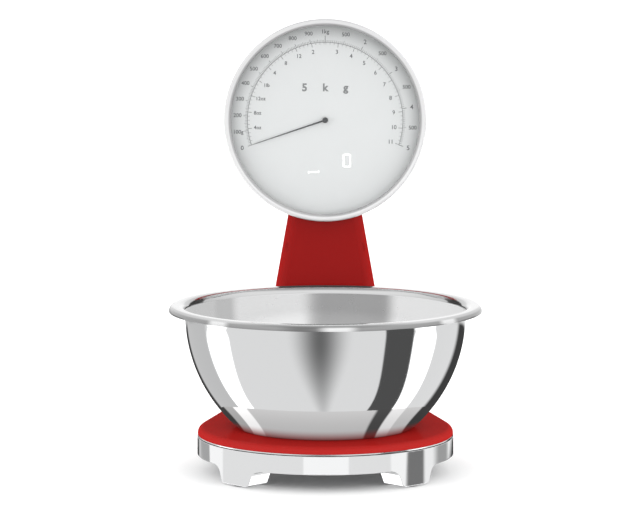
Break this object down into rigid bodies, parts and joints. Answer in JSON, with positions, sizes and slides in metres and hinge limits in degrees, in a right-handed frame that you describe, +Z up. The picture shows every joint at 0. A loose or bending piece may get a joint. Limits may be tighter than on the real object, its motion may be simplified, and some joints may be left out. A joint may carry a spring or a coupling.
{
  "type": "kitchen scale",
  "caption": "Kitchen scale with a round dial head on a tapered column, a teardrop weighing base on four feet and a lift-off steel mixing bowl.",
  "frame": {"origin": "on the table, under the middle of the bounding box; the bowl axis is 32.75 mm in front of it", "axes": "+Z up, front (dial side and bowl) towards -Y, +X to the right of someone facing the dial"},
  "size_m": [0.225, 0.2904, 0.32],
  "materials": {
    "chrome_casting": "polished chrome plate",
    "chrome_ring": "polished chrome plate",
    "polished_trim": "polished",
    "bowl_steel": "polished outside, satin brushed inside",
    "red_enamel": "gloss enamel",
    "red_shell": "gloss",
    "dial_metal": "satin, printed",
    "clear_glass": "clear",
    "black_rubber": "matte",
    "dark_plastic": "fine texture",
    "zinc_steel": "zinc plated",
    "spring_steel": "nickel plated",
    "cell_jacket": "printed jacket",
    "bare_aluminium": "milled",
    "spine_steel": "galvanised sheet",
    "display_black": "smoked window",
    "board_green": "solder mask",
    "component_black": "moulded",
    "button_grey": "satin",
    "white_acetal": "moulded",
    "brass_bush": "turned",
    "motor_can": "drawn can",
    "needle_black": "black anodised",
    "cable_grey": "jacket",
    "cable_red": "jacket"
  },
  "bodies": {
    "base": {"arbor_bush": "brass_bush", "base_casting": "chrome_casting", "battery_cable": "cable_red", "battery_cells": "cell_jacket", "battery_contact_plates": "spring_steel", "battery_springs": "spring_steel", "battery_tray": "dark_plastic", "bezel": "chrome_ring", "board_components": "component_black", "bottom_cover": "dark_plastic", "bottom_cover_screws": "zinc_steel", "button_board": "board_green", "button_board_screws": "zinc_steel", "column_cover_screws": "zinc_steel", "column_front_shell": "red_enamel", "column_rear_cover": "red_enamel", "column_spine": "spine_steel", "dial_glass": "clear_glass", "dial_plate": "dial_metal", "display_cable": "cable_grey", "foot_pad_front_left": "black_rubber", "foot_pad_front_right": "black_rubber", "foot_pad_rear_left": "black_rubber", "foot_pad_rear_right": "black_rubber", "glass_gasket": "black_rubber", "head_chassis": "dark_plastic", "head_housing": "red_shell", "head_housing_screws": "zinc_steel", "led_display": "display_black", "load_cell": "bare_aluminium", "load_cell_base_screws": "zinc_steel", "load_cell_cable": "cable_grey", "main_board": "board_green", "main_board_screws": "zinc_steel", "motor_screws": "zinc_steel", "overload_stops": "zinc_steel", "pointer_motor": "motor_can", "rear_deck": "red_enamel", "spine_base_screws": "zinc_steel", "spine_head_screws": "zinc_steel", "tactile_switches": "component_black"},
    "platform": {"platform_plate": "red_enamel", "platform_trim": "polished_trim", "platform_carrier": "bare_aluminium", "load_cell_spacer": "bare_aluminium", "load_cell_platform_screws": "zinc_steel", "platform_screws": "zinc_steel"},
    "mixing_bowl": {"bowl": "bowl_steel"},
    "door": {"battery_door": "dark_plastic"},
    "button_power": {"power_button": "button_grey"},
    "button_unit": {"unit_button": "button_grey"},
    "needle_train": {"pointer": "needle_black", "pointer_cap": "needle_black", "pointer_arbor": "spring_steel", "pointer_gear": "white_acetal"},
    "motor_rotor": {"motor_pinion": "brass_bush"}
  },
  "joints": [
    {"name": "platform_travel", "type": "slide", "parent": "base", "child": "platform", "axis": [0, 0, -1], "range_m": [0, 0.0005], "stiffness_N_per_m": 100000, "springref_m": -0.00013, "deforming": ["load_cell"]},
    {"name": "bowl_lift", "type": "slide", "parent": "platform", "child": "mixing_bowl", "axis": [0, 0, 1], "range_m": [0, 0.3]},
    {"name": "battery_door_slide", "type": "slide", "parent": "base", "child": "door", "axis": [0, 1, 0], "range_m": [0, 0.062]},
    {"name": "power_button_press", "type": "slide", "parent": "base", "child": "button_power", "axis": [0, -0.9972, 0.075], "range_m": [0, 0.001], "stiffness_N_per_m": 800, "springref_m": -0.0005},
    {"name": "unit_button_press", "type": "slide", "parent": "base", "child": "button_unit", "axis": [0, -0.9972, 0.075], "range_m": [0, 0.001], "stiffness_N_per_m": 800, "springref_m": -0.0005},
    {"name": "pointer_turn", "type": "hinge", "parent": "base", "child": "needle_train", "pos_m": [0, 0.08845, 0.2442], "axis": [0, 0.9972, -0.075], "range_deg": [0, 217.2]},
    {"name": "motor_spin", "type": "hinge", "parent": "base", "child": "motor_rotor", "pos_m": [-0.0175, 0.08845, 0.2442], "axis": [0, 0.9972, -0.075], "range_deg": [-1303.2, 0]}
  ],
  "couplings": [
    {"joint": "motor_spin", "follows": "pointer_turn", "ratio": -6}
  ]
}
